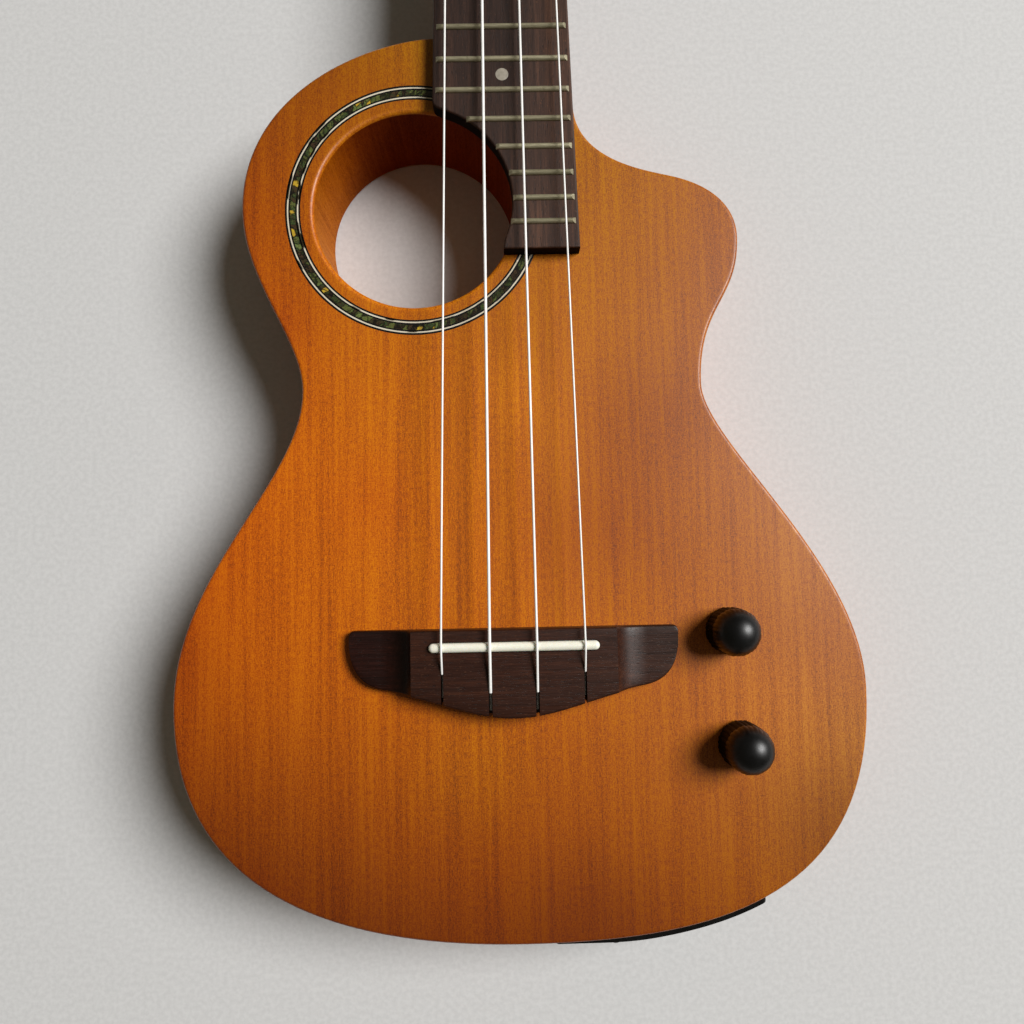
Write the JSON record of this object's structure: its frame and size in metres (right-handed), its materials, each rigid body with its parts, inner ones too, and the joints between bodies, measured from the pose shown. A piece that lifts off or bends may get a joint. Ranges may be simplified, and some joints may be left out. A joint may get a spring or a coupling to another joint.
{
  "type": "electric ukulele",
  "caption": "Thin-bodied single-cutaway tenor ukulele with a through-body hole beside the neck, control knobs and a side plate for jack and battery.",
  "frame": {"origin": "on the back face, under the point where the open strings' scale length starts, on the neck's centreline", "axes": "+Y along the neck towards the headstock, +Z out of the face, +X to the right of the neck seen from the front"},
  "size_m": [0.2232, 0.6758, 0.0517],
  "materials": {
    "top_wood": "satin amber stain",
    "side_wood": "satin brown stain",
    "inner_wood": "bare wood",
    "neck_wood": "satin",
    "dark_wood": "oiled open grain",
    "bridge_wood": "oiled open grain",
    "bone": "polished",
    "fret_wire": "polished nickel silver",
    "nylon": "smooth",
    "shell": "polished shell",
    "black_rubber": "matte",
    "black_plastic": "fine texture",
    "metal": "polished nickel",
    "cast_metal": "satin",
    "battery_case": "plain wrap"
  },
  "bodies": {
    "instrument": {"top_plate": "top_wood", "back_plate": "side_wood", "side_rim": "side_wood", "hole_liner": "side_wood", "rosette": "shell", "neck_block": "inner_wood", "tail_block": "inner_wood", "top_lining": "inner_wood", "back_lining": "inner_wood", "bridge_patch": "inner_wood", "neck": "neck_wood", "fingerboard": "dark_wood", "nut": "bone", "bridge": "bridge_wood", "saddle": "bone", "piezo_strip": "metal", "fret_01": "fret_wire", "fret_02": "fret_wire", "fret_03": "fret_wire", "fret_04": "fret_wire", "fret_05": "fret_wire", "fret_06": "fret_wire", "fret_07": "fret_wire", "fret_08": "fret_wire", "fret_09": "fret_wire", "fret_10": "fret_wire", "fret_11": "fret_wire", "fret_12": "fret_wire", "fret_13": "fret_wire", "fret_14": "fret_wire", "fret_15": "fret_wire", "fret_16": "fret_wire", "fret_17": "fret_wire", "fret_18": "fret_wire", "fret_19": "fret_wire", "fret_20": "fret_wire", "string_g": "nylon", "string_c": "nylon", "string_e": "nylon", "string_a": "nylon", "tuner_g_housing": "cast_metal", "tuner_c_housing": "cast_metal", "tuner_e_housing": "cast_metal", "tuner_a_housing": "cast_metal", "volume_pot": "metal", "tone_pot": "metal", "jack_plate": "black_plastic", "output_jack": "metal"},
    "volume_knob": {"volume_knob": "black_rubber"},
    "tone_knob": {"tone_knob": "black_rubber"},
    "battery_drawer": {"battery_drawer": "black_plastic", "battery": "battery_case"},
    "tuner_g_button": {"tuner_g_button": "cast_metal"},
    "tuner_g_post": {"tuner_g_post": "metal"},
    "tuner_c_button": {"tuner_c_button": "cast_metal"},
    "tuner_c_post": {"tuner_c_post": "metal"},
    "tuner_e_button": {"tuner_e_button": "cast_metal"},
    "tuner_e_post": {"tuner_e_post": "metal"},
    "tuner_a_button": {"tuner_a_button": "cast_metal"},
    "tuner_a_post": {"tuner_a_post": "metal"}
  },
  "joints": [
    {"name": "volume_turn", "type": "hinge", "parent": "instrument", "child": "volume_knob", "pos_m": [0.0696, 0.0005, 0.0356], "axis": [0, 0, 1], "range_deg": [-150, 150]},
    {"name": "tone_turn", "type": "hinge", "parent": "instrument", "child": "tone_knob", "pos_m": [0.0722, -0.0355, 0.0356], "axis": [0, 0, 1], "range_deg": [-150, 150]},
    {"name": "battery_slide", "type": "slide", "parent": "instrument", "child": "battery_drawer", "axis": [0, -1, 0], "range_m": [0, 0.05]},
    {"name": "tuner_g_button_turn", "type": "hinge", "parent": "instrument", "child": "tuner_g_button", "pos_m": [-0.0345, 0.4725, 0.0122], "axis": [-1, 0, 0], "continuous": true},
    {"name": "tuner_g_post_turn", "type": "hinge", "parent": "instrument", "child": "tuner_g_post", "pos_m": [-0.017, 0.4725, 0.03], "axis": [0, 0, 1], "continuous": true},
    {"name": "tuner_c_button_turn", "type": "hinge", "parent": "instrument", "child": "tuner_c_button", "pos_m": [-0.0345, 0.5185, 0.0122], "axis": [-1, 0, 0], "continuous": true},
    {"name": "tuner_c_post_turn", "type": "hinge", "parent": "instrument", "child": "tuner_c_post", "pos_m": [-0.015, 0.5185, 0.03], "axis": [0, 0, 1], "continuous": true},
    {"name": "tuner_e_button_turn", "type": "hinge", "parent": "instrument", "child": "tuner_e_button", "pos_m": [0.0345, 0.5185, 0.0122], "axis": [1, 0, 0], "continuous": true},
    {"name": "tuner_e_post_turn", "type": "hinge", "parent": "instrument", "child": "tuner_e_post", "pos_m": [0.015, 0.5185, 0.03], "axis": [0, 0, 1], "continuous": true},
    {"name": "tuner_a_button_turn", "type": "hinge", "parent": "instrument", "child": "tuner_a_button", "pos_m": [0.0345, 0.4725, 0.0122], "axis": [1, 0, 0], "continuous": true},
    {"name": "tuner_a_post_turn", "type": "hinge", "parent": "instrument", "child": "tuner_a_post", "pos_m": [0.017, 0.4725, 0.03], "axis": [0, 0, 1], "continuous": true}
  ],
  "couplings": [
    {"joint": "tuner_g_post_turn", "follows": "tuner_g_button_turn", "ratio": 0.071429},
    {"joint": "tuner_c_post_turn", "follows": "tuner_c_button_turn", "ratio": 0.071429},
    {"joint": "tuner_e_post_turn", "follows": "tuner_e_button_turn", "ratio": 0.071429},
    {"joint": "tuner_a_post_turn", "follows": "tuner_a_button_turn", "ratio": 0.071429}
  ]
}
